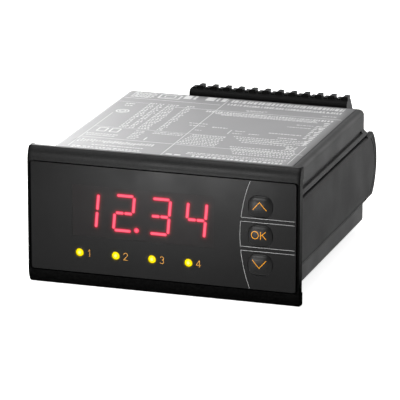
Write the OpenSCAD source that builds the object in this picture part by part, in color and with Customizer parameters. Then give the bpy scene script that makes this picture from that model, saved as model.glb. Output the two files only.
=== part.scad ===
// Digital panel meter for a 92 x 45 mm cut-out, with a four-digit display, three keys,
// four relay lamps, two pluggable terminal rows and two sliding side clamps.
// X runs to the right along the front, Y runs back into the panel, Z is up.
// The origin is the centre of the cut-out on the panel's front surface.

/* [Bezel] */
// Width of the bezel
bezel_w = 96; // [94:1:120]
// Height of the bezel
bezel_h = 48; // [47:1:60]
// Flat front of the bezel to the panel surface
bezel_t = 4.4; // [4:0.1:7]
// Corner radius of the bezel's outline
bezel_r = 0.6; // [0.3:0.1:1.5]
// How far the rounded top and bottom bars fall back towards their edge
bar_drop = 1.9; // [0.6:0.1:2.4]
// Width of the thin rims at the left and right
rim_w = 0.6; // [0.4:0.1:1.2]
// Open groove between a side rim and the front panel
side_groove = 0.7; // [0.2:0.1:1]
// Open groove between a bar and the front panel
bar_groove = 0.45; // [0.2:0.05:1]
// Thickness of the sealing gasket behind the bezel
gasket_t = 1.2; // [0.8:0.1:2]
// How far the gasket stays inside the bezel's outline
gasket_inset = 0.4; // [0.2:0.1:1]
// Width of the corner feet that limit how far the gasket is squeezed
foot_w = 1.5; // [1:0.1:2.5]
// Height of the corner feet
foot_h = 4.4; // [2:0.1:6]
// Wall of the spigot that holds the front unit in the housing
spigot_t = 1.2; // [0.8:0.1:1.6]

/* [Front panel] */
// Height of the front panel between the two bars
panel_h = 37.6; // [37:0.1:39]
// Thickness of the front panel
panel_t = 1.2; // [0.8:0.1:1.8]
// Corner radius of the front panel
panel_r = 1; // [0.5:0.1:2]
// Width of the display window
window_w = 50.2; // [48:0.1:52]
// Height of the display window
window_h = 17.9; // [15:0.1:19]
// Sideways position of the display window's centre
window_x = -6.9; // [-9:0.1:-5]
// Height of the display window's centre
window_z = 3.05; // [2:0.05:4]

/* [Display] */
// Distance between the display's digits
digit_pitch = 12.75; // [12.4:0.05:13]
// Height of a display module
digit_h = 19; // [17:0.1:20]
// Depth of a display module
digit_t = 8; // [7:0.1:10]
// Gap between neighbouring display modules
digit_gap = 0.15; // [0.1:0.05:0.5]
// Gap between the window and the display modules
face_gap = 0.3; // [0.1:0.1:0.6]
// Distance of the display's centre to the left of the window's
display_left = 0.7; // [0:0.1:1]
// Distance of the display's centre below the window's
display_low = 0.1; // [0:0.05:0.5]
// Width between the centre lines of the outer light bars
bar_span_w = 6.5; // [5:0.1:7.5]
// Height between the centre lines of the outer light bars
bar_span_h = 12.2; // [10:0.1:13]
// Width of a light bar
light_bar_w = 1.05; // [0.6:0.05:1.3]
// Depth of a light bar
light_bar_t = 0.6; // [0.3:0.1:1.5]
// Lean of the digits to the right, in degrees
digit_lean = 4.8; // [0:0.1:10]
// Radius of the decimal point
point_r = 0.9; // [0.5:0.05:1]

/* [Lamps] */
// Distance between the relay lamps
lamp_pitch = 12.9; // [11:0.1:14]
// Sideways position of the first lamp
lamp_x = -29.5; // [-31:0.1:-28]
// Height of the lamp row
lamp_z = -11.87; // [-13:0.01:-11]
// Radius of a lamp
lamp_r = 1.45; // [1:0.05:1.6]
// Length of a lamp from its tip to its base
lamp_l = 5.6; // [4.5:0.1:6.5]
// How far a lamp stands out of the front panel
lamp_proud = 0.15; // [0:0.05:0.6]

/* [Keys] */
// Distance of the keys' centres from the bezel's right end
key_inset = 13.6; // [13.4:0.1:15]
// Distance between the keys
key_pitch = 10.05; // [9.4:0.05:10.2]
// Width of a key
key_w = 8.4; // [7:0.1:8.8]
// Height of a key
key_h = 7.4; // [6:0.1:7.8]
// Corner radius of a key
key_r = 3.2; // [2:0.1:3.4]
// How far the pillow of a key stands out
key_dome = 0.9; // [0.4:0.1:1.4]
// Gap round a key
key_gap = 0.15; // [0.1:0.05:0.3]
// Extra width of the flange that keeps a key in
key_flange = 0.5; // [0.3:0.1:0.55]
// Height of a switch under a key
switch_h = 3.5; // [3:0.1:4.2]
// How far a switch's plunger stands out at rest
plunger_out = 1; // [0.8:0.1:1.4]
// Travel of a key
key_travel = 0.5; // [0.3:0.05:0.6]

/* [Housing] */
// Distance that the bezel stands out past the housing at each side
side_flange = 3.75; // [3:0.05:4]
// Distance that the bezel stands out above and below the housing
top_flange = 3.15; // [2.5:0.05:3.4]
// Depth of the housing behind the panel surface
housing_d = 90; // [80:1:120]
// Radius of the housing's long edges
housing_r = 2; // [1:0.1:3]
// Thickness of the top and bottom walls
housing_wall = 2; // [1.5:0.1:2.6]
// Thickness of the side walls, which hold the clamp slots
side_wall = 3.4; // [3.2:0.1:4]
// Thickness of the rear wall
rear_wall = 2; // [1.5:0.1:3]
// Depth of the narrow step round the rear edge
rear_step = 0.6; // [0.3:0.1:1]
// Length of the printed label on the top
label_l = 87.6; // [60:0.1:88]
// Thickness of the label
label_t = 0.15; // [0.1:0.05:0.3]

/* [Side clamps] */
// Height of a clamp's outer plate beside the housing
clamp_h = 22.3; // [20:0.1:22.6]
// Height of a clamp's tail, which fills the space between the rails
tail_h = 23.4; // [22.8:0.1:24]
// Outer face of a clamp beyond the housing's side
clamp_proud = 2.05; // [1.8:0.05:3]
// Thickness of a clamp's outer plate
clamp_t = 1.2; // [0.9:0.05:1.4]
// Thickness of a clamp's tail
tail_t = 1.7; // [1.3:0.05:1.85]
// Chamfer round a clamp's outer face
clamp_chamfer = 0.4; // [0.2:0.05:0.6]
// Length of a clamp behind the housing, at its rounded end
clamp_tail = 10.3; // [6:0.1:15]
// Radius of a clamp's rounded end
clamp_end_r = 15; // [12.2:0.1:20]
// Distance from the panel surface to a clamp's nose, which is the thinnest panel
clamp_nose = 2; // [1.6:0.1:6]
// Clearance of a clamp in its slot
clamp_fit = 0.2; // [0.15:0.05:0.3]
// Tooth pitch of the ratchet rack
tooth_pitch = 1.5; // [1.2:0.1:3]
// Tooth height of the ratchet rack
tooth_h = 0.35; // [0.2:0.05:0.4]

/* [Boards] */
// Thickness of the circuit boards
board_t = 1.6; // [1:0.1:1.8]
// Outer face of a main board above or below the middle
board_z = 5.2; // [4.8:0.1:5.6]
// Radius of the screws that hold the display board
board_screw_r = 0.98; // [0.8:0.02:1.1]

/* [Board parts] */
// Gap between the tallest parts and the housing's wall
headroom = 1.65; // [1:0.05:3]
// Width of a relay
relay_w = 10; // [8:0.5:11]
// Length of a relay
relay_l = 20; // [16:0.5:24]
// Distance between the relays
relay_pitch = 12.4; // [11.5:0.1:13]
// Gap between the relays and their pin header
relay_gap = 8; // [5:0.5:12]
// Width of the transformer's core
core_w = 18; // [14:0.5:22]
// Thickness of the transformer's core
core_t = 8; // [6:0.5:10]
// Distance of the transformer to the left of the middle
core_left = 18; // [14:0.5:22]
// Distance of the transformer behind the panel
core_y = 40; // [32:0.5:46]
// Radius of a capacitor
capacitor_r = 5; // [3:0.1:5.5]
// Length of a capacitor
capacitor_l = 16; // [10:0.5:18]
// Distance between the capacitors
capacitor_pitch = 12; // [11.2:0.1:14]
// Gap between the capacitors and their pin header
capacitor_gap = 4; // [2:0.5:8]
// Side of the processor, a square chip
processor_w = 12; // [7:0.5:14]
// Width of the converter chip
converter_w = 7.5; // [5:0.5:8]
// Distance of the converter chip to the right of the middle
converter_x = 18; // [14:0.5:24]
// Thickness of the processor
processor_t = 1.6; // [1.2:0.1:2.4]
// Thickness of the converter chip
converter_t = 2.3; // [1.2:0.1:2.8]
// Distance of the chips behind the panel
chip_y = 26; // [22:0.5:30]
// Width of the pin strips that link the boards
link_w = 28; // [20:0.5:32]

/* [Terminals] */
// Number of terminals in each row
ways = 12; // [2:1:12]
// Distance between the ways of a terminal row
way_pitch = 4.9; // [4.6:0.02:5.08]
// Gap between the pin headers and the housing's right wall
row_margin = 1.95; // [1.5:0.05:4]
// Height of a pin header
header_h = 9.8; // [9.2:0.1:10.2]
// Depth of a pin header
header_d = 12; // [11:0.1:14]
// Wall of a pin header
header_wall = 1.2; // [0.8:0.1:1.4]
// Clearance of a plug in its header
plug_fit = 0.2; // [0.15:0.05:0.3]
// Gap between the housing's rear wall and a plug
plug_gap = 0.4; // [0.3:0.1:1]
// How far a plug reaches past the housing's top or bottom
plug_rise = 2.05; // [1:0.05:3]
// Depth of a plug behind the housing
plug_d = 19.6; // [18:0.1:23]
// Depth of the ridge along a plug at its top
ridge_t = 5.2; // [4.9:0.1:6]
// Height of the ridge above the screw deck
ridge_h = 8; // [7:0.1:8.2]
// Slope of the ridge's rear face, as a depth
ridge_slope = 5.6; // [3:0.1:6]
// Radius of the ridge's edge that faces the housing
ridge_r = 1.5; // [0.5:0.1:2]
// Width of the hood at each terminal
hood_w = 2.5; // [2:0.1:3.6]
// Height of the hoods
hood_h = 1.3; // [0.6:0.1:2]
// Depth of the hoods
hood_d = 3.4; // [2:0.1:4]
// Radius of a clamping screw's head
screw_head_r = 1.8; // [1.4:0.05:1.9]
// Radius of a clamping screw's thread
screw_r = 1.35; // [1:0.05:1.5]
// Radius of a wire entry
wire_r = 1.7; // [1.2:0.05:1.8]
// Thickness of a header pin
pin_t = 1; // [0.8:0.05:1.2]

/* [Hidden] */

// Depth positions, from the front to the rear
front_y = -bezel_t;
back_y = -gasket_t;
panel_back_y = front_y + panel_t;
digit_y = panel_back_y + face_gap;
display_board_y = digit_y + digit_t;
main_board_y = display_board_y + board_t + 1.8;
board_end_y = housing_d - rear_wall - 0.3;

// Bezel and front panel
housing_w = bezel_w - 2 * side_flange;
housing_h = bezel_h - 2 * top_flange;
recess_w = bezel_w - 2 * rim_w;
recess_h = panel_h + 2 * bar_groove;
panel_w = recess_w - 2 * side_groove;
bar_w = (bezel_h - recess_h) / 2;
bar_r = (bar_w * bar_w + bar_drop * bar_drop) / (2 * bar_drop);
cavity_w = housing_w - 2 * side_wall;
cavity_h = housing_h - 2 * housing_wall;
inner_fit = 0.25;
spigot_w = cavity_w - 2 * inner_fit;
spigot_h = cavity_h - 2 * inner_fit;
boss_r = board_screw_r + 0.8;
boss_x = spigot_w / 2 - 2.4;
boss_z = spigot_h / 2 - 2.2;
boss_places = [for (sx = [-1, 1], sz = [-1, 1]) [sx * boss_x, sz * boss_z]];
display_x = window_x - display_left;
display_z = window_z - display_low;
display_w = 4 * digit_pitch;
opening_fit = 0.3;

// Lamps, digits and keys
lamp_tip_y = front_y - lamp_proud;
lamp_base_y = lamp_tip_y + lamp_l;
lamp_flange_t = 1;
lamp_flange_r = lamp_r + 0.4;
lamp_hole_r = lamp_r + 0.05;
lamp_places = [for (i = [0:3]) [lamp_x + i * lamp_pitch, lamp_z]];
digit_places = [for (i = [0:3]) display_x + (i - 1.5) * digit_pitch];
key_x = bezel_w / 2 - key_inset;
key_places = [for (i = [1, 0, -1]) [key_x, i * key_pitch]];
flange_t = 0.7;
stem_r = 2;
plunger_r = 1.7;
plunger_l = plunger_out + 1.5;
plunger_y = display_board_y - switch_h - plunger_out;
switch_w = 6;

// Light bars of one digit, as pairs of end points about the digit's centre
half_w = bar_span_w / 2;
half_h = bar_span_h / 2;
bar_gap = light_bar_w * 1.15;
corner_gap = bar_gap * 0.71;
light_bars = concat(
    [for (sz = [-1, 1]) [[corner_gap - half_w, sz * half_h], [half_w - corner_gap, sz * half_h]]],
    [for (sx = [-1, 1], sz = [-1, 1])
        [[sx * half_w, sz * corner_gap], [sx * half_w, sz * (half_h - corner_gap)]]],
    [for (sx = [-1, 1]) [[sx * bar_gap / 2, 0], [sx * (half_w - corner_gap), 0]]],
    [for (sz = [-1, 1]) [[0, sz * bar_gap], [0, sz * (half_h - bar_gap)]]],
    [for (sx = [-1, 1], sz = [-1, 1])
        [[sx * bar_gap, sz * bar_gap], [sx * (half_w - bar_gap), sz * (half_h - bar_gap)]]]
);
point_place = [half_w + 1.65, 0.5 - half_h];

// Side clamps and their slots
clamp_x = housing_w / 2 + clamp_proud;
slot_floor_x = housing_w / 2 - 1.75;
slot_lip_x = housing_w / 2 - 0.85;
slot_neck_h = clamp_h - 3;
slot_floor_h = clamp_h - 0.6;
slot_start_y = clamp_nose;
tail_y = housing_d - 2.6;
rail_z = tail_h / 2 + clamp_fit;
rail_edge_h = 0.45;
rail_root_h = 1.6;
rail_proud = 1.3;
side_groove_h = 1;
side_groove_t = 0.5;
side_groove_z = rail_z + rail_root_h - 0.5;
side_groove_end_y = housing_d - 4;
clamp_end_y = housing_d + clamp_tail;
clamp_flange_end_y = housing_d - 3;
rack_w = 4;

// Boards and what they carry
board_w = cavity_w - 0.6;
core_foot = 1;
core_h = cavity_h / 2 - headroom - board_z - core_foot;
core_leg = core_w / 7;
core_yoke = core_h / 5;
core_window_w = core_w / 5.2;
guide_d = 1.6;
guide_t = 1;
row_x = cavity_w / 2 - row_margin - header_wall - plug_fit - ways * way_pitch / 2;
header_x0 = row_x - ways * way_pitch / 2 - plug_fit - header_wall;
header_x1 = row_x + ways * way_pitch / 2 + plug_fit + header_wall;
header_y = housing_d - header_d;
way_places = [for (i = [0:ways - 1]) row_x + (i - (ways - 1) / 2) * way_pitch];

// Plugs
tongue_z0 = board_z + header_wall + plug_fit;
tongue_z1 = board_z + header_h - header_wall - plug_fit;
header_back_t = 2.5;
tongue_y = header_y + header_back_t + 0.5;
contact_z = (tongue_z0 + tongue_z1) / 2;
plug_y = housing_d + plug_gap;
plug_end_y = plug_y + plug_d;
plug_top_z = housing_h / 2 + plug_rise;
deck_z = plug_top_z - ridge_h;
plug_bottom_z = board_z + 0.4;
cage_w = way_pitch - 1;
cage_d = 5.4;
cage_h = 4.8;
cage_y = plug_end_y - 4 - cage_d;
cage_wall = 0.6;
screw_y = cage_y + cage_d / 2;
screw_head_h = 1.6;
screw_top_z = contact_z + cage_h / 2 + 0.05 + screw_head_h;
pin_tip_y = housing_d - 1.5;
pin_leg_y = header_y - 1.4;

$fn = 48;

// ---- shapes used by several pieces ----

// A rectangle with round corners, centred
module rounded_rect(w, h, r) {
    square([w - 2 * r, h], center = true);
    square([w, h - 2 * r], center = true);
    for (sx = [-1, 1], sy = [-1, 1])
        translate([sx * (w / 2 - r), sy * (h / 2 - r)])
            circle(r = r);
}

// Carries an outline drawn in X and Z from y0 to y1
module along_y(y0, y1) {
    translate([0, y1, 0])
        rotate([90, 0, 0])
            linear_extrude(y1 - y0)
                children();
}

// Carries an outline drawn in Y and Z from x0 to x1
module along_x(x0, x1) {
    translate([x0, 0, 0])
        rotate([90, 0, 90])
            linear_extrude(x1 - x0)
                children();
}

// A box between two opposite corners
module block(low, high) {
    translate(low)
        cube(high - low);
}

// A round rod along Y whose axis passes through place, given as X and Z
module rod_y(place, r, y0, y1) {
    translate([place[0], y0, place[1]])
        rotate([-90, 0, 0])
            cylinder(r = r, h = y1 - y0);
}

// Repeats a piece on the right and, mirrored, on the left
module both_sides() {
    for (m = [0, 1])
        mirror([m, 0, 0])
            children();
}

// Repeats a piece above and, mirrored, below
module above_and_below() {
    for (m = [0, 1])
        mirror([0, 0, m])
            children();
}

module housing_outline(grow = 0) {
    rounded_rect(housing_w + 2 * grow, housing_h + 2 * grow, housing_r + grow);
}

// ---- front unit ----

// Section of the bezel in Y and Z: a flat middle between two rounded bars
module bezel_section() {
    translate([front_y, -recess_h / 2])
        square([back_y - front_y, recess_h]);
    for (s = [0, 1])
        mirror([0, s])
            intersection() {
                translate([front_y + bar_r, recess_h / 2])
                    circle(r = bar_r, $fn = 96);
                translate([front_y, recess_h / 2 - 0.01])
                    square([back_y - front_y, bar_w + 0.01]);
            }
}

module key_outline(grow = 0) {
    rounded_rect(key_w + 2 * grow, key_h + 2 * grow, key_r + grow);
}

// Every key, lamp and display opening through the front, as an outline
module front_openings(lamp_hole) {
    for (p = key_places)
        translate(p)
            key_outline(key_gap);
    for (p = lamp_places)
        translate(p)
            circle(r = lamp_hole);
}

module corner_feet(grow = 0) {
    both_sides()
        above_and_below()
            block([bezel_w / 2 - foot_w - grow, back_y, bezel_h / 2 - foot_h - grow],
                  [bezel_w / 2 - 0.1 + 2 * grow, 0, bezel_h / 2 - 0.1 + 2 * grow]);
}

// Moulded frame with the rounded bars, the web behind the front panel, the spigot and the screw bosses
module bezel() {
    color("#2b2c2e")
        difference() {
            union() {
                intersection() {
                    along_x(-bezel_w / 2, bezel_w / 2)
                        bezel_section();
                    along_y(front_y, back_y)
                        rounded_rect(bezel_w, bezel_h, bezel_r);
                }
                corner_feet();
                along_y(back_y, display_board_y)
                    difference() {
                        rounded_rect(spigot_w, spigot_h, 1);
                        rounded_rect(spigot_w - 2 * spigot_t, spigot_h - 2 * spigot_t, 0.5);
                    }
                for (p = boss_places)
                    rod_y(p, boss_r, back_y, display_board_y);
            }
            along_y(front_y - 1, panel_back_y)
                rounded_rect(recess_w, recess_h, panel_r);
            along_y(panel_back_y - 1, back_y + 1) {
                translate([display_x, display_z])
                    square([display_w + 2 * opening_fit, digit_h + 2 * opening_fit], center = true);
                front_openings(lamp_hole_r + 0.1);
            }
            for (p = boss_places)
                rod_y(p, board_screw_r + 0.02, back_y + 0.8, display_board_y + 1);
        }
}

module panel_gasket() {
    color("#101010")
        difference() {
            along_y(back_y, 0)
                difference() {
                    rounded_rect(bezel_w - 2 * gasket_inset, bezel_h - 2 * gasket_inset, 1);
                    housing_outline(label_t + 0.1);
                }
            corner_feet(0.15);
        }
}

module front_panel() {
    color("#333436")
        along_y(front_y, panel_back_y)
            difference() {
                rounded_rect(panel_w, panel_h, panel_r);
                translate([window_x, window_z])
                    square([window_w, window_h], center = true);
                front_openings(lamp_hole_r);
            }
}

module display_window() {
    color("#3a2628")
        along_y(front_y, panel_back_y)
            translate([window_x, window_z])
                square([window_w, window_h], center = true);
}

// Key with a pillow-shaped face, a flange that keeps it in and a stem that reaches the switch
module key(place) {
    pillow_w_r = (key_w * key_w / 4 + key_dome * key_dome) / (2 * key_dome);
    pillow_h_r = (key_h * key_h / 4 + key_dome * key_dome) / (2 * key_dome);
    color("#38393b")
        translate([place[0], 0, place[1]])
            union() {
                intersection() {
                    along_y(front_y - key_dome, back_y)
                        key_outline();
                    translate([0, front_y - key_dome + pillow_w_r, -key_h])
                        cylinder(r = pillow_w_r, h = 2 * key_h, $fn = 96);
                    translate([-key_w, front_y - key_dome + pillow_h_r, 0])
                        rotate([0, 90, 0])
                            cylinder(r = pillow_h_r, h = 2 * key_w, $fn = 96);
                }
                along_y(back_y, back_y + flange_t)
                    key_outline(key_flange);
                rod_y([0, 0], stem_r, back_y, plunger_y);
            }
}

module plunger(place) {
    color("#1c1c1c")
        rod_y(place, plunger_r, plunger_y, plunger_y + plunger_l);
}

// Square switch soldered to the display board, with the bore that its plunger slides in
module key_switch(place) {
    color("#8d9094")
        difference() {
            along_y(display_board_y - switch_h, display_board_y)
                translate(place)
                    square(switch_w, center = true);
            rod_y(place, plunger_r + 0.05, display_board_y - switch_h - 1,
                  plunger_y + plunger_l + key_travel + 0.1);
        }
}

// Round lamp with a domed tip and a base flange
module lamp(place) {
    color("#f5e020")
        union() {
            translate([place[0], lamp_tip_y + lamp_r, place[1]])
                sphere(r = lamp_r);
            rod_y(place, lamp_r, lamp_tip_y + lamp_r, lamp_base_y);
            rod_y(place, lamp_flange_r, lamp_base_y - lamp_flange_t, lamp_base_y);
        }
}

module lamp_spacers() {
    color("#26272a")
        for (p = lamp_places)
            difference() {
                rod_y(p, lamp_flange_r, lamp_base_y, display_board_y);
                rod_y(p, lamp_flange_r / 2, lamp_base_y - 1, display_board_y + 1);
            }
}

// Outline of one round-ended bar between two points, leaning with the digits
module light_bar(ends) {
    lean = tan(digit_lean);
    p = [ends[0][0] + lean * ends[0][1], ends[0][1]];
    q = [ends[1][0] + lean * ends[1][1], ends[1][1]];
    length = norm(q - p);
    translate(p)
        rotate(atan2(q[1] - p[1], q[0] - p[0])) {
            translate([0, -light_bar_w / 2])
                square([length, light_bar_w]);
            circle(d = light_bar_w, $fn = 24);
            translate([length, 0])
                circle(d = light_bar_w, $fn = 24);
        }
}

// The fourteen bars and the decimal point of one digit
module light_bar_outline() {
    for (ends = light_bars)
        light_bar(ends);
    translate([point_place[0] + tan(digit_lean) * point_place[1], point_place[1]])
        circle(r = point_r, $fn = 24);
}

module light_bar_set(x) {
    color("#ff5060")
        along_y(digit_y, digit_y + light_bar_t)
            translate([x, display_z])
                light_bar_outline();
}

// Display module: a moulded block whose face is open where the light bars show
module digit(x) {
    color("#4a4a4c")
        difference() {
            along_y(digit_y, display_board_y)
                translate([x, display_z])
                    square([digit_pitch - digit_gap, digit_h], center = true);
            along_y(digit_y - 1, digit_y + light_bar_t)
                translate([x, display_z])
                    light_bar_outline();
        }
}

module display_board() {
    color("#2e6b45")
        difference() {
            along_y(display_board_y, display_board_y + board_t)
                rounded_rect(spigot_w, spigot_h, 1);
            for (p = boss_places)
                rod_y(p, board_screw_r + 0.1, display_board_y - 1, display_board_y + board_t + 1);
        }
}

// Four pan-head screws with a cross-shaped drive
module display_board_screws() {
    head_r = 1.75 * board_screw_r;
    head_y = display_board_y + board_t;
    color("#c8cacc")
        for (p = boss_places)
            difference() {
                union() {
                    rod_y(p, board_screw_r, back_y + 1.6, head_y);
                    rod_y(p, head_r, head_y, head_y + 1.1);
                }
                along_y(head_y + 0.5, head_y + 2)
                    translate(p) {
                        square([1.5 * board_screw_r, 0.3], center = true);
                        square([0.3, 1.5 * board_screw_r], center = true);
                    }
            }
}

// ---- housing, label and clamps ----

// Slot with an undercut that a clamp slides in, open at the rear
module clamp_slot() {
    block([slot_lip_x, slot_start_y, -slot_neck_h / 2],
          [housing_w / 2 + 1, housing_d + 1, slot_neck_h / 2]);
    block([slot_floor_x, slot_start_y, -slot_floor_h / 2],
          [slot_lip_x + 0.01, housing_d + 1, slot_floor_h / 2]);
}

// Rail with a sloping back that runs along a clamp's edge
module clamp_rail() {
    along_y(slot_start_y + 1, housing_d - 0.3)
        polygon([
            [housing_w / 2 - 0.5, rail_z],
            [housing_w / 2 + rail_proud, rail_z],
            [housing_w / 2 + rail_proud, rail_z + rail_edge_h],
            [housing_w / 2, rail_z + rail_root_h],
            [housing_w / 2 - 0.5, rail_z + rail_root_h],
        ]);
}

// Saw-tooth rack on the floor of a clamp slot
module ratchet_rack() {
    teeth = floor((clamp_flange_end_y - slot_start_y) / tooth_pitch) - 4;
    start = slot_start_y + 3 * tooth_pitch;
    saw = [for (i = [0:teeth - 1], end = [0, 1]) [slot_floor_x + end * tooth_h, start + (i + end) * tooth_pitch]];
    translate([0, 0, -rack_w / 2])
        linear_extrude(rack_w)
            polygon(concat(
                [[slot_floor_x - 0.2, start]],
                saw,
                [[slot_floor_x - 0.2, start + teeth * tooth_pitch]]
            ));
}

// One-piece shell, open at the front, with header openings in its rear wall
module housing() {
    color("#3a3b3d") {
        difference() {
            union() {
                along_y(back_y, housing_d - rear_step)
                    housing_outline();
                along_y(housing_d - rear_step, housing_d)
                    housing_outline(-0.4);
                both_sides()
                    above_and_below()
                        clamp_rail();
            }
            along_y(back_y - 1, housing_d - rear_wall)
                rounded_rect(cavity_w, cavity_h, 0.8);
            above_and_below()
                block([header_x0 - 0.2, housing_d - rear_wall - 1, board_z - 0.2],
                      [header_x1 + 0.2, housing_d + 1, board_z + header_h + 0.2]);
            both_sides() {
                clamp_slot();
                above_and_below()
                    block([housing_w / 2 - side_groove_t, slot_start_y, side_groove_z],
                          [housing_w / 2 + 1, side_groove_end_y, side_groove_z + side_groove_h]);
            }
        }
        both_sides() {
            ratchet_rack();
            above_and_below()
                for (z = [board_z + 0.1, board_z - board_t - 0.1 - guide_t])
                    block([cavity_w / 2 - guide_d, main_board_y, z],
                          [cavity_w / 2 + 0.2, housing_d - rear_wall, z + guide_t]);
        }
    }
}

// Printed film on the housing's top, folded a little over its left edge
module top_label() {
    label_y = 0.8;
    color("#b9bbbd")
        intersection() {
            along_y(label_y, label_y + label_l)
                difference() {
                    housing_outline(label_t);
                    housing_outline();
                }
            block([-housing_w / 2 + 0.6, 0, housing_h / 2 - housing_r],
                  [housing_w / 2 - 2.9, housing_d, housing_h / 2 + 1]);
        }
}

// Section in X and Z of a plate at a clamp's outer face, with its two outer edges chamfered
module clamp_plate_section(height, thickness) {
    polygon([
        [clamp_x - thickness, -height / 2],
        [clamp_x - clamp_chamfer, -height / 2],
        [clamp_x, clamp_chamfer - height / 2],
        [clamp_x, height / 2 - clamp_chamfer],
        [clamp_x - clamp_chamfer, height / 2],
        [clamp_x - thickness, height / 2],
    ]);
}

// Side clamp: an outer plate with a thicker rounded tail, and a flanged neck that runs in the slot
module clamp() {
    plate_x = clamp_x - clamp_t;
    neck_h = slot_neck_h - 2 * clamp_fit;
    flange_h = slot_floor_h - 2 * clamp_fit;
    flange_x = slot_floor_x + clamp_fit;
    nose_y = clamp_nose + 0.5;
    end_centre_y = clamp_end_y - clamp_end_r;
    pawl_y = clamp_flange_end_y - 2 * tooth_pitch;
    pawl_tip_x = slot_floor_x + tooth_h + 0.1;
    pawl_root_x = pawl_tip_x + 0.3;
    color("#333436")
        difference() {
            union() {
                along_y(nose_y, tail_y + 1)
                    clamp_plate_section(clamp_h, clamp_t);
                intersection() {
                    along_y(tail_y, clamp_end_y)
                        clamp_plate_section(tail_h, tail_t);
                    union() {
                        translate([clamp_x - 2 * tail_t, end_centre_y, 0])
                            rotate([0, 90, 0])
                                cylinder(r = clamp_end_r, h = 2 * tail_t - clamp_chamfer, $fn = 128);
                        translate([clamp_x - clamp_chamfer, end_centre_y, 0])
                            rotate([0, 90, 0])
                                cylinder(r1 = clamp_end_r, r2 = clamp_end_r - clamp_chamfer,
                                         h = clamp_chamfer, $fn = 128);
                    }
                }
                block([slot_lip_x - clamp_fit - 0.3, nose_y, -neck_h / 2],
                      [plate_x + 0.2, clamp_flange_end_y, neck_h / 2]);
                block([flange_x, nose_y, -flange_h / 2],
                      [slot_lip_x - clamp_fit, clamp_flange_end_y, flange_h / 2]);
            }
            // channel over the ratchet rack, with the pawl tooth left standing in it
            difference() {
                block([flange_x - 1, clamp_nose, -rack_w / 2 - 0.4],
                      [pawl_root_x, housing_d, rack_w / 2 + 0.4]);
                translate([0, 0, -rack_w / 2])
                    linear_extrude(rack_w)
                        polygon([
                            [pawl_root_x + 0.1, pawl_y],
                            [pawl_root_x, pawl_y],
                            [pawl_tip_x, pawl_y],
                            [pawl_root_x, pawl_y + tooth_pitch],
                            [pawl_root_x + 0.1, pawl_y + tooth_pitch],
                        ]);
            }
            // two shallow grip grooves that follow the rounded tail
            intersection() {
                along_x(clamp_x - 0.2, clamp_x + 1)
                    translate([end_centre_y, 0])
                        for (r = [clamp_end_r - 1.6, clamp_end_r - 3.2])
                            difference() {
                                circle(r = r, $fn = 128);
                                circle(r = r - 0.4, $fn = 128);
                            }
                block([clamp_x - 1, housing_d + 1, -tail_h / 2 + 1.5],
                      [clamp_x + 1, clamp_end_y, tail_h / 2 - 1.5]);
            }
        }
}

// ---- main boards ----

module main_board() {
    color("#2e6b45")
        block([-board_w / 2, main_board_y, board_z - board_t],
              [board_w / 2, board_end_y, board_z]);
}

// Pin strip between the display board and a main board
module board_link() {
    link_h = 2.6;
    color("#1d1d1f")
        block([display_x - link_w / 2, display_board_y + board_t, board_z],
              [display_x + link_w / 2, main_board_y + 1.5 * link_h, board_z + link_h]);
}

// Sealed relay: a case on a slightly wider base
module relay(i) {
    x = row_x + (i - 1.5) * relay_pitch;
    y = header_y - relay_gap - relay_l;
    base_h = 1.2;
    base_step = 0.3;
    color("#d8d3c4")
        union() {
            block([x - relay_w / 2, y, board_z], [x + relay_w / 2, y + relay_l, board_z + base_h]);
            block([x - relay_w / 2 + base_step, y + base_step, board_z + base_h],
                  [x + relay_w / 2 - base_step, y + relay_l - base_step, cavity_h / 2 - headroom]);
        }
}

// Ferrite core: a block with two windows, so that it has a middle leg and two outer legs
module transformer_core() {
    color("#4b4744")
        translate([-core_left, core_y, -board_z - core_foot])
            difference() {
                block([-core_w / 2, -core_t / 2, -core_h], [core_w / 2, core_t / 2, 0]);
                for (s = [-1, 1])
                    core_window(s, 0);
            }
}

// One of the core's two windows, grown outwards by a distance
module core_window(side, grow) {
    x = side * (core_w / 2 - core_leg - core_window_w / 2);
    block([x - core_window_w / 2 - grow, -core_t / 2 - 1, core_yoke - core_h - grow],
          [x + core_window_w / 2 + grow, core_t / 2 + 1, -core_yoke + grow]);
}

// Winding on its bobbin, round the middle leg of the core
module transformer_coil() {
    coil_w = core_w - 2 * core_leg - 0.8;
    coil_h = core_h - 2 * core_yoke - 0.5;
    coil_l = core_t + 6;
    foot_l = 2;
    color("#c9a23c")
        translate([-core_left, core_y, -board_z - core_foot])
            difference() {
                union() {
                    translate([0, 0, -core_h / 2])
                        cube([coil_w, coil_l, coil_h], center = true);
                    for (s = [-1, 1])
                        translate([0, s * (coil_l / 2 - foot_l / 2), 0])
                            block([-coil_w / 2 - 1, -foot_l / 2, -core_yoke - 0.5],
                                  [coil_w / 2 + 1, foot_l / 2, core_foot]);
                }
                // the core passes through and round the winding
                difference() {
                    block([-core_w, -core_t / 2 - 0.2, -core_h - 1], [core_w, core_t / 2 + 0.2, core_foot + 1]);
                    for (s = [-1, 1])
                        core_window(s, -0.2);
                }
            }
}

// Round capacitor lying on the lower board, with the groove near its end
module capacitor(i) {
    x = row_x + (i - 0.5) * capacitor_pitch;
    y = header_y - capacitor_gap - capacitor_l;
    r = capacitor_r;
    groove = 0.1 * r;
    groove_y = 0.14 * capacitor_l;
    color("#27324f")
        translate([x, y, -board_z - r])
            rotate([-90, 0, 0])
                rotate_extrude()
                    polygon([
                        [0, 0], [r - 0.3, 0], [r, 0.3], [r, groove_y - groove], [r - groove, groove_y],
                        [r - groove, groove_y + groove], [r, groove_y + 2 * groove],
                        [r, capacitor_l], [0, capacitor_l],
                    ]);
}

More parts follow.
